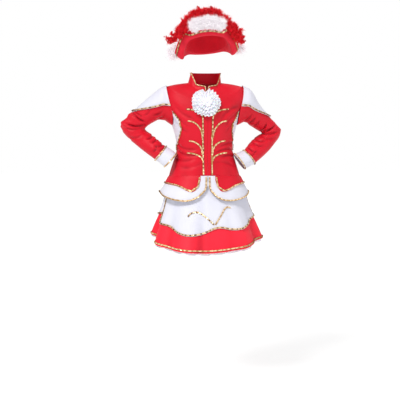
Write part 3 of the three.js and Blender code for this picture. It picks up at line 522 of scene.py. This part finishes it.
def skirt_drape(points):
    """The faint ripples of a flared hem, none at the waist and most at the edge."""
    x, y, z = points.T
    turn = np.arctan2(x, -y)
    away = np.stack([np.sin(turn), -np.cos(turn), np.zeros_like(x)], axis=1)
    fall = np.clip((-0.335 - z) / 0.27, 0, 1)
    ripple = np.sin(turn * 9 + 0.7) + 0.6 * np.sin(turn * 17 + 2.1) + 0.4 * np.sin(turn * 5 - 0.9)
    return away * (0.0022 * fall * ripple)[:, None]


basque_cuts = {
    # node: material, flat size, area of the cut
    "basque_white_front_right": (white_satin, (0.20, 0.11), 0.018),
    "basque_white_front_left": (white_satin, (0.20, 0.11), 0.018),
    "basque_white_back": (white_satin, (0.46, 0.105), 0.0365),
    "basque_red_front_right": (red_satin, (0.15, 0.07), 0.0073),
    "basque_red_front_left": (red_satin, (0.15, 0.07), 0.0073),
    "basque_red_back": (red_satin, (0.42, 0.066), 0.0187),
}
basque = {}
for node, (material, _, _) in basque_cuts.items():
    piece = rounded(node, 2)
    moved_points(piece, skirt_drape)
    slot = "white_satin" if "white" in node else "red_satin"
    basque[node] = dress(piece, node, material)
for layer in ("basque_white", "basque_red"):
    sewn(basque[f"{layer}_back"], [basque[f"{layer}_front_right"], basque[f"{layer}_front_left"]])
for side in ("front_right", "front_left", "back"):
    sewn(basque[f"basque_red_{side}"], [jacket[side]], reach=0.0048)

# The skirt: a red flared skirt on a waistband, and a white overskirt of a long scalloped apron
# and a shorter back. Both are cut as parts of a ring, and fall in folds from the hips.
# The skirt's satin is the red satin painted lighter, a painted highlight for the light that the flared
# skirt catches.
skirt_satin_painted_lighter = satin(
    "skirt_satin_painted_lighter", (0.97, 0.022, 0.048), (0.90, 0.014, 0.037), (0.44, 0.0, 0.014), gloss=0.25
)
skirt_cuts = {
    # node: material, flat size, area of the cut, how it is held
    "waistband": (skirt_satin_painted_lighter, (0.57, 0.028), 0.0153, "stretched"),
    "skirt_front": (skirt_satin_painted_lighter, (0.62, 0.38), 0.151, "hung"),
    "skirt_back": (skirt_satin_painted_lighter, (0.64, 0.38), 0.154, "hung"),
    "overskirt_front": (white_satin, (0.52, 0.31), 0.106, "hung"),
    "overskirt_back": (white_satin, (0.56, 0.28), 0.1145, "hung"),
}
skirt = {}
for node, (material, _, _, _) in skirt_cuts.items():
    piece = rounded(node, 2)
    moved_points(piece, skirt_drape)
    slot = "white_satin" if "over" in node else "red_satin"
    skirt[node] = dress(piece, node, material)
sewn(skirt["skirt_back"], [skirt["skirt_front"]])

# The frill: organza gathered to the inside of the hem, with a fine picot edge that just shows
# below it. The cloth is crisp and half clear, so it is paler and rougher than the satin.


def organza(name, colour, shade):
    """Crisp sheer cloth with a small open pattern in relief, a little light coming through."""
    material, nodes, links, surface = blank_material(name)
    place = nodes.new("ShaderNodeTexCoord")
    lace = nodes.new("ShaderNodeTexVoronoi")
    lace.feature = "DISTANCE_TO_EDGE"
    lace.inputs["Scale"].default_value = 420
    tint = nodes.new("ShaderNodeTexNoise")
    tint.inputs["Scale"].default_value = 70
    tint.inputs["Detail"].default_value = 3
    ramp = tones(nodes, 0.3, shade, 0.65, colour)
    bump = nodes.new("ShaderNodeBump")
    bump.inputs["Strength"].default_value = 0.6
    bump.inputs["Distance"].default_value = 0.0006
    links.new(place.outputs["Object"], lace.inputs["Vector"])
    links.new(place.outputs["Object"], tint.inputs["Vector"])
    links.new(tint.outputs["Fac"], ramp.inputs["Fac"])
    links.new(ramp.outputs["Color"], surface.inputs["Base Color"])
    links.new(lace.outputs["Distance"], bump.inputs["Height"])
    links.new(bump.outputs["Normal"], surface.inputs["Normal"])
    surface.inputs["Roughness"].default_value = 0.8
    surface.inputs["Sheen Weight"].default_value = 0.5
    surface.inputs["Subsurface Weight"].default_value = 0.15
    surface.inputs["Subsurface Scale"].default_value = 0.004
    return material


white_organza = organza("white_organza", (0.97, 0.96, 1.0), (0.84, 0.84, 0.92))
frill = rounded("frill", 2)
PICOT_HEIGHT = 0.0012
PICOT_TURNS = 190


def picots(points):
    """Small loops along the frill's lower edge."""
    x, y, z = points.T
    turn = np.arctan2(x, -y)
    low = np.clip((-0.575 - z) / 0.03, 0, 1)
    shift = np.zeros_like(points)
    shift[:, 2] = PICOT_HEIGHT * np.sin(turn * PICOT_TURNS) * low
    return shift + skirt_drape(points)


moved_points(frill, picots)
dress(frill, "frill", white_organza)

# The jabot: four rounds of gathered lace, sewn one inside the other on a small covered core.
# Each round is a full ruffle, so its edge waves to and fro and stands off the round behind it.
lean = math.radians(19)
jabot_middle = Vector((-0.006, -0.084, -0.068))
jabot_across = Vector((1, 0, 0))
jabot_front = Vector((0, -math.cos(lean), math.sin(lean)))
jabot_up = Vector((0, math.sin(lean), math.cos(lean)))
ruffle_rows = [
    # node, inner radius, outer radius, waves, depth of a wave, distance to the front
    ("jabot_ruffle_1", 0.0066, 0.0530, 25, 0.0040, 0.0080),
    ("jabot_ruffle_2", 0.0066, 0.0440, 21, 0.0040, 0.0145),
    ("jabot_ruffle_3", 0.0066, 0.0325, 16, 0.0036, 0.0205),
    ("jabot_ruffle_4", 0.0060, 0.0200, 11, 0.0030, 0.0260),
]
STRIP_PARTS = 12
STEPS_A_WAVE = 16
NOTCH_DEPTH, NOTCH_WIDTH = 0.012, 0.14  # where the two ends of a ruffle meet, at the top
LACE_THICKNESS = 0.0006
for tier, (node, inner, outer, waves, swing, front) in enumerate(ruffle_rows):
    form = bmesh.new()
    heights = [inner + (outer - inner) * k / STRIP_PARTS for k in range(STRIP_PARTS + 1)]
    strip = [form.verts.new(jabot_middle + jabot_up * height) for height in heights]
    sides = [form.edges.new(pair) for pair in zip(strip, strip[1:])]
    bmesh.ops.spin(
        form,
        geom=strip + sides,
        cent=jabot_middle,
        axis=jabot_front,
        angle=2 * math.pi,
        steps=waves * STEPS_A_WAVE,
        use_merge=True,
    )
    for vert in form.verts:
        arm = vert.co - jabot_middle
        turn = math.atan2(arm.dot(jabot_across), arm.dot(jabot_up))
        open_share = max((arm.length - inner) / (outer - inner), 0)
        gather = math.sin(turn * waves + 1.3 * math.sin(turn * 3 + tier) + tier)
        wave = gather * swing * open_share**0.8
        tuck = 0.0022 * math.sin(turn * 5 + tier * 2) * open_share
        picot = 0.00065 * math.sin(turn * waves * 4) * max(open_share - 0.8, 0) * 5
        notch = NOTCH_DEPTH * math.exp(-((turn / NOTCH_WIDTH) ** 2)) * open_share * (tier < 2)
        reach = arm.length * (1 + 0.03 * open_share * math.cos(turn * waves + tier))
        reach += picot + 0.6 * tuck - notch
        vert.co = (
            jabot_middle
            + jabot_across * (reach * math.sin(turn))
            + jabot_up * (reach * math.cos(turn))
            + jabot_front * (front + wave + 0.003 * open_share - tuck * 0.4)
        )
    bmesh.ops.recalc_face_normals(form, faces=form.faces)
    sheet = form.verts[:] + form.edges[:] + form.faces[:]
    bmesh.ops.solidify(form, geom=sheet, thickness=LACE_THICKNESS)
    mesh = bpy.data.meshes.new(node + "_lace")
    form.to_mesh(mesh)
    form.free()
    piece = new_piece("lace_" + node, mesh)
    dress(piece, node, white_organza)
core = rounded("jabot_core", 2)
dress(core, "jabot_core", white_organza)

# The gold braid: a narrow tape along every edge and over the fronts, sewn full of small cupped
# sequins that lie over each other like scales. Runs of them carry painted highlights and painted
# dark reflections.
gold, gold_nodes, gold_links, gold_surface = blank_material("gold_sequin_braid")
sequin_glint = gold_nodes.new("ShaderNodeAttribute")
sequin_glint.attribute_name = "shade"
gold_ramp = tones(gold_nodes, 0, (0.10, 0.045, 0.014), 1, (1.0, 0.78, 0.46))
gold_middle = gold_ramp.color_ramp.elements.new(0.5)
gold_middle.color = (0.52, 0.28, 0.09, 1)
gold_links.new(sequin_glint.outputs["Fac"], gold_ramp.inputs["Fac"])
gold_links.new(gold_ramp.outputs["Color"], gold_surface.inputs["Base Color"])
gold_surface.inputs["Metallic"].default_value = 0.4
gold_surface.inputs["Roughness"].default_value = 0.32


TAPE_SIDE = 0.0011  # a face of the tape further than this from its cloth is on the outer side


def ribbon_lines(node, carriers):
    """The middle lines of a flat ribbon's outer side, each a list of places and outward directions."""
    form = bmesh.new()
    form.from_mesh(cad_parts[node].data)
    bmesh.ops.remove_doubles(form, verts=form.verts, dist=1e-6)
    cloth = search_tree([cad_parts[carrier].data for carrier in carriers])
    outer = set()
    for face in form.faces:
        middle = face.calc_center_median()
        spot, _, _, gap = cloth.find_nearest(middle)
        if spot is None or gap <= TAPE_SIDE:
            continue
        if (middle - spot).normalized().dot(face.normal) > 0.75:
            outer.add(face)

    def neighbours(face, among):
        """The faces next to this one that are among the given ones, each with the shared edge."""
        shared = [(edge, other) for edge in face.edges for other in edge.link_faces]
        return [(edge, other) for edge, other in shared if other in among and other is not face]

    def tip_of(face, joined):
        """The middle of a ribbon's end, and its outward direction."""
        rest = [edge for edge in face.edges if edge is not joined]
        tip = min(rest, key=lambda edge: edge.calc_length())
        return (tip.verts[0].co + tip.verts[1].co) / 2, face.normal.copy()

    left = set(outer)
    lines = []
    while left:
        open_ends = [face for face in left if len(neighbours(face, left)) <= 1]
        face = min(open_ends or left, key=lambda one: one.index)
        left.discard(face)
        line = []
        around = neighbours(face, outer)
        if len(around) == 1:
            line.append(tip_of(face, around[0][0]))
        while True:
            ahead = neighbours(face, left)
            if not ahead:
                break
            edge, other = ahead[0]
            spot = (edge.verts[0].co + edge.verts[1].co) / 2
            line.append((spot, (face.normal + other.normal).normalized()))
            left.discard(other)
            face = other
        around = neighbours(face, outer)
        if len(around) == 1 and line:
            line.append(tip_of(face, around[0][0]))
        if len(line) > 2:
            lines.append(line)
    form.free()
    return lines


PARTS_A_SPAN = 8


def even_places(line, spacing):
    """Places at an even spacing on a smooth curve through a line's points."""
    points = np.array([spot for spot, _ in line])
    normals = np.array([normal for _, normal in line])
    fine, fine_normals = [], []
    for i in range(len(points) - 1):
        before, a = points[max(i - 1, 0)], points[i]
        b, after = points[i + 1], points[min(i + 2, len(points) - 1)]
        for step in range(PARTS_A_SPAN):
            s = step / PARTS_A_SPAN
            fine.append(
                0.5
                * (
                    2 * a
                    + (b - before) * s
                    + (2 * before - 5 * a + 4 * b - after) * s**2
                    + (3 * a - before - 3 * b + after) * s**3
                )
            )
            fine_normals.append(normals[i] * (1 - s) + normals[i + 1] * s)
    fine.append(points[-1])
    fine_normals.append(normals[-1])
    fine, fine_normals = np.array(fine), np.array(fine_normals)
    run = np.concatenate([[0], np.cumsum(np.linalg.norm(np.diff(fine, axis=0), axis=1))])
    marks = np.arange(spacing / 2, run[-1], spacing)
    spots = np.stack([np.interp(marks, run, fine[:, k]) for k in range(3)], axis=1)
    ups = np.stack([np.interp(marks, run, fine_normals[:, k]) for k in range(3)], axis=1)
    ahead = np.gradient(spots, axis=0) if len(spots) > 1 else np.tile([0, 0, 1.0], (len(spots), 1))
    return spots, ups, ahead


SHORT_BRAID = 0.09  # a line whose ends lie nearer than this gets less dark painted reflections, so it looks brighter
SEQUIN_LIFT = 0.0008
SEQUIN_CUP = 0.0003


def sequinned(node, carriers, folds, size=0.0027, spacing=0.0033, seed=1):
    """A braid: the rounded tape, and a row of overlapping sequins along its middle."""
    tape = rounded(node, 2)
    moved_points(tape, folds)
    chance = random.Random(seed)
    form = bmesh.new()
    shade = form.verts.layers.float.new("shade")
    for line in ribbon_lines(node, carriers):
        spots, ups, ahead = even_places(line, spacing)
        spots = spots + folds(spots)
        short = np.linalg.norm(spots[-1] - spots[0]) < SHORT_BRAID
        dark = (0.45, 0.7) if short else (0.05, 0.4)
        painted_glint, left = 0.9, 0
        # Each run of sequins gets one painted glint: pale for a painted highlight, dark for a painted
        # dark reflection.
        for spot, up, forward in zip(spots, ups, ahead):
            if left <= 0:
                glinting = painted_glint < 0.75
                painted_glint = chance.uniform(0.8, 1.0) if glinting else chance.uniform(*dark)
                left = chance.choice((2, 3, 3, 4)) if glinting else chance.choice((1, 2, 2, 3))
            left -= 1
            up = Vector(up).normalized()
            aside = Vector(forward).cross(up).normalized()
            forward = up.cross(aside)
            middle = Vector(spot) + up * SEQUIN_LIFT + aside * chance.uniform(-0.0003, 0.0003)
            lie = Matrix((forward, aside, up)).transposed()
            lie @= Matrix.Rotation(-chance.uniform(0.1, 0.3), 3, "Y")
            lie @= Matrix.Rotation(chance.uniform(-0.15, 0.15), 3, "X")
            sequin = bmesh.ops.create_circle(
                form,
                cap_ends=True,
                cap_tris=True,
                segments=8,
                radius=size,
                matrix=Matrix.Translation(middle) @ lie.to_4x4(),
            )["verts"]
            for vert in sequin:
                vert[shade] = min(max(painted_glint + chance.uniform(-0.08, 0.1), 0), 1)
                if (vert.co - middle).length < size / 2:
                    vert.co -= up * SEQUIN_CUP
    tape_shade = tape.data.attributes.new("shade", "FLOAT", "POINT")
    tape_shade.data.foreach_set("value", [0.5] * len(tape.data.vertices))
    form.from_mesh(tape.data)
    form.to_mesh(tape.data)
    form.free()
    tape.name = "braid_" + node
    return dress(tape, node, gold)


braid_count = 0
for side in ("right", "left"):
    body = BODY_NODES + ["placket_" + side]
    for node in (f"seam_braid_front_{side}", f"seam_braid_back_{side}", f"front_braid_{side}"):
        sequinned(node, body, torso_drape, size=0.0024, spacing=0.003, seed=braid_count)
        braid_count += 1
    folds = arm_drape(side)
    sleeve_braids = {
        f"sleeve_braid_{side}": f"oversleeve_{side}",
        f"cuff_braid_top_{side}": f"cuff_{side}",
        f"cuff_braid_end_{side}": f"cuff_{side}",
    }
    for node, carrier in sleeve_braids.items():
        sequinned(node, [carrier], folds, seed=braid_count)
        braid_count += 1
sequinned("collar_piping", ["collar"], torso_drape, size=0.0019, spacing=0.0026, seed=31)
braid_count += 1
hems = {
    # braid: the cloth that it is sewn on
    "basque_braid_white": ["basque_white_front_right", "basque_white_front_left", "basque_white_back"],
    "basque_braid_red": ["basque_red_front_right", "basque_red_front_left", "basque_red_back"],
    "skirt_braid": ["skirt_front", "skirt_back"],
    "apron_braid": ["overskirt_front"],
    "overskirt_back_braid": ["overskirt_back"],
    "apron_scroll_right": ["overskirt_front"],
    "apron_scroll_left": ["overskirt_front"],
}
for node, carriers in hems.items():
    sequinned(node, carriers, skirt_drape, seed=braid_count + 40)
    braid_count += 1

# The hat: a crown and a turned-up brim covered in red velvet, stiff inside. The short pile shows
# as a fine relief, with a faint sheen and slightly deeper tones where it is brushed.
velvet, velvet_nodes, velvet_links, velvet_surface = blank_material("red_velvet")
velvet_place = velvet_nodes.new("ShaderNodeTexCoord")
velvet_pile = velvet_nodes.new("ShaderNodeTexNoise")
velvet_pile.inputs["Scale"].default_value = 1400
velvet_brush = velvet_nodes.new("ShaderNodeTexNoise")
velvet_brush.inputs["Scale"].default_value = 22
velvet_brush.inputs["Detail"].default_value = 4
velvet_ramp = tones(velvet_nodes, 0.35, (0.71, 0.004, 0.026), 0.7, (0.83, 0.008, 0.034))
velvet_bump = velvet_nodes.new("ShaderNodeBump")
velvet_bump.inputs["Strength"].default_value = 0.5
velvet_bump.inputs["Distance"].default_value = 0.0008
velvet_links.new(velvet_place.outputs["Object"], velvet_pile.inputs["Vector"])
velvet_links.new(velvet_place.outputs["Object"], velvet_brush.inputs["Vector"])
velvet_links.new(velvet_brush.outputs["Fac"], velvet_ramp.inputs["Fac"])
velvet_links.new(velvet_ramp.outputs["Color"], velvet_surface.inputs["Base Color"])
velvet_links.new(velvet_pile.outputs["Fac"], velvet_bump.inputs["Height"])
velvet_links.new(velvet_bump.outputs["Normal"], velvet_surface.inputs["Normal"])
velvet_surface.inputs["Roughness"].default_value = 0.85
velvet_surface.inputs["Sheen Weight"].default_value = 0.1
velvet_surface.inputs["Sheen Tint"].default_value = (1, 0.35, 0.4, 1)


def still(points):
    """The stiff hat has no folds."""
    return np.zeros_like(points)


hat = {}
for node in ("hat_crown", "hat_brim"):
    hat[node] = dress(rounded(node, 2), node, velvet)
sewn(hat["hat_brim"], [hat["hat_crown"]])

# The button on top of the crown: a flat metal form covered with the same velvet. It is sewn
# over the small round hole where the crown's cloth comes together.
CROWN_POLE = (-0.0016, 0.0296, 0.2384)
CROWN_AXIS = (-0.055, 0.272, 0.961)
BUTTON_RADIUS = 0.0066
BUTTON_FLATNESS = 0.42
button_form = bmesh.new()
bmesh.ops.create_uvsphere(button_form, u_segments=28, v_segments=14, radius=BUTTON_RADIUS)
bmesh.ops.scale(button_form, vec=(1, 1, BUTTON_FLATNESS), verts=button_form.verts)
button_turn = Vector(CROWN_AXIS).to_track_quat("Z", "Y").to_matrix()
bmesh.ops.rotate(button_form, cent=(0, 0, 0), matrix=button_turn, verts=button_form.verts)
bmesh.ops.translate(button_form, vec=CROWN_POLE, verts=button_form.verts)
button_mesh = bpy.data.meshes.new("crown_button")
button_form.to_mesh(button_mesh)
button_form.free()
button = new_piece("crown_button", button_mesh)
button_mesh.materials.append(velvet)
for face in button_mesh.polygons:
    face.use_smooth = True
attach(button, "root")

# The hat's gold braid: the same sequin tape as on the jacket, in a slightly bolder width, sewn
# along the edge of the turned-up brim.
sequinned("hat_braid", ["hat_brim"], still, size=0.0028, seed=77)

# The feather trimmings: marabou down and a boa, a core string with fine barbs sewn on all round.
# Each is a great many thin strands that stand out from the space the CAD solid fills.


def down(name, colour, painted_root_shade, sheen, painted_glow):
    """Soft barbs with painted shade: darker where they leave the string, lighter at their tips.

    The glow is painted light: it stands for the light that passes on from barb to barb."""
    material, nodes, links, surface = blank_material(name)
    depth = nodes.new("ShaderNodeAttribute")
    depth.attribute_name = "shade"
    ramp = tones(nodes, 0, painted_root_shade, 0.75, colour)
    links.new(depth.outputs["Fac"], ramp.inputs["Fac"])
    links.new(ramp.outputs["Color"], surface.inputs["Base Color"])
    surface.inputs["Roughness"].default_value = 0.9
    surface.inputs["Sheen Weight"].default_value = sheen
    surface.inputs["Emission Color"].default_value = (*colour, 1)
    surface.inputs["Emission Strength"].default_value = painted_glow
    return material


JOINTS = 4  # places along a strand where it can bend
CORE_DEPTH = 0.8  # of the core under the solid's surface, as a share of the strands' root depth


def feathered(node, material, slot, count, inside, beyond, width, clump, droop, seed):
    """Strands on one CAD solid: roots under its surface, tips at or just beyond it."""
    chance = np.random.default_rng(seed)
    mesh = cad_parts[node].data
    corners = np.array([corner.co for corner in mesh.vertices])
    triangles = np.array([face.vertices[:] for face in mesh.polygons if len(face.vertices) == 3])
    a, b, c = (corners[triangles[:, k]] for k in range(3))
    cross = np.cross(b - a, c - a)
    area = np.linalg.norm(cross, axis=1)
    facing = cross / np.maximum(area, 1e-12)[:, None]
    clumps = max(count // clump, 1)
    picked = chance.choice(len(triangles), clumps, p=area / area.sum())
    r1, r2 = np.sqrt(chance.random(clumps)), chance.random(clumps)
    shares = (1 - r1, r1 * (1 - r2), r1 * r2)
    seat = sum(share[:, None] * ends[picked] for share, ends in zip(shares, (a, b, c)))
    way = facing[picked] + chance.normal(0, 0.5, (clumps, 3))
    way /= np.linalg.norm(way, axis=1)[:, None]
    size = chance.uniform(0.4, 1.1, clumps)
    # Whole tufts are drawn nearer the root colour, a painted shade between the tufts.
    tuft_painted_shade = np.repeat(chance.uniform(0.45, 1.0, clumps), clump * JOINTS * 2)
    seat = np.repeat(seat, clump, axis=0)
    base = np.repeat(facing[picked], clump, axis=0)
    way = np.repeat(way, clump, axis=0) + chance.normal(0, 0.16, (clumps * clump, 3))
    way /= np.linalg.norm(way, axis=1)[:, None]
    size = np.repeat(size, clump) * chance.uniform(0.75, 1.1, clumps * clump)
    total = len(seat)
    root = seat - base * inside + chance.normal(0, 0.0012, (total, 3))
    reach = (inside + beyond) * size
    bend = chance.normal(0, 0.25, (total, 3)) - np.array([0, 0, droop])
    aside = np.cross(way, chance.normal(0, 1, (total, 3)))
    aside /= np.maximum(np.linalg.norm(aside, axis=1), 1e-9)[:, None]
    points, shade = [], []
    for step in range(JOINTS):
        s = step / (JOINTS - 1)
        middle = root + way * (reach * s)[:, None] + bend * (reach * s**2 * 0.5)[:, None]
        half = width * (1 - 0.7 * s) * 0.5
        points += [middle - aside * half, middle + aside * half]
        shade += [np.full(total, s)] * 2
    grid = np.stack(points, axis=1).reshape(-1, 3)
    strand_tone = np.repeat(chance.uniform(0.8, 1.0, total), JOINTS * 2)
    shade = np.stack(shade, axis=1).ravel() * strand_tone * tuft_painted_shade
    start = (np.arange(total) * JOINTS * 2)[:, None]
    faces = np.concatenate(
        [start + np.array([[2 * k, 2 * k + 1, 2 * k + 3, 2 * k + 2]]) for k in range(JOINTS - 1)]
    )
    core = merged(node)
    for vert in core.verts:
        vert.co -= vert.normal * inside * CORE_DEPTH
    core_points = np.array([vert.co for vert in core.verts])
    core.verts.index_update()
    core_faces = [[vert.index + len(grid) for vert in face.verts] for face in core.faces]
    core.free()
    made = bpy.data.meshes.new(node + "_barbs")
    made.from_pydata(np.concatenate([grid, core_points]).tolist(), [], faces.tolist() + core_faces)
    # The core takes the painted shade of the roots.
    tones = np.concatenate([shade, np.full(len(core_points), 0.1)])
    made.attributes.new("shade", "FLOAT", "POINT").data.foreach_set("value", tones.astype(np.float32))
    return dress(new_piece("barbs_" + node, made), node, material)


white_down = down("white_marabou", (1.0, 0.99, 1.0), (0.88, 0.82, 0.86), 0.3, 0.10)
red_down = down("red_marabou", (0.86, 0.006, 0.02), (0.62, 0.001, 0.012), 0.05, 0.08)
feather_rows = [
    # node, material, slot, strands, root depth, reach beyond, width, strands a tuft, droop, seed
    ("hat_fur_front", white_down, "white_marabou", 20000, 0.010, 0.007, 0.0010, 22, -0.1, 3),
    ("hat_fur_back", white_down, "white_marabou", 26500, 0.011, 0.009, 0.0010, 16, 0.1, 5),
    ("hat_plume", red_down, "red_marabou", 28000, 0.008, 0.0095, 0.0013, 24, 0.25, 7),
]
for row in feather_rows:
    feathered(*row)
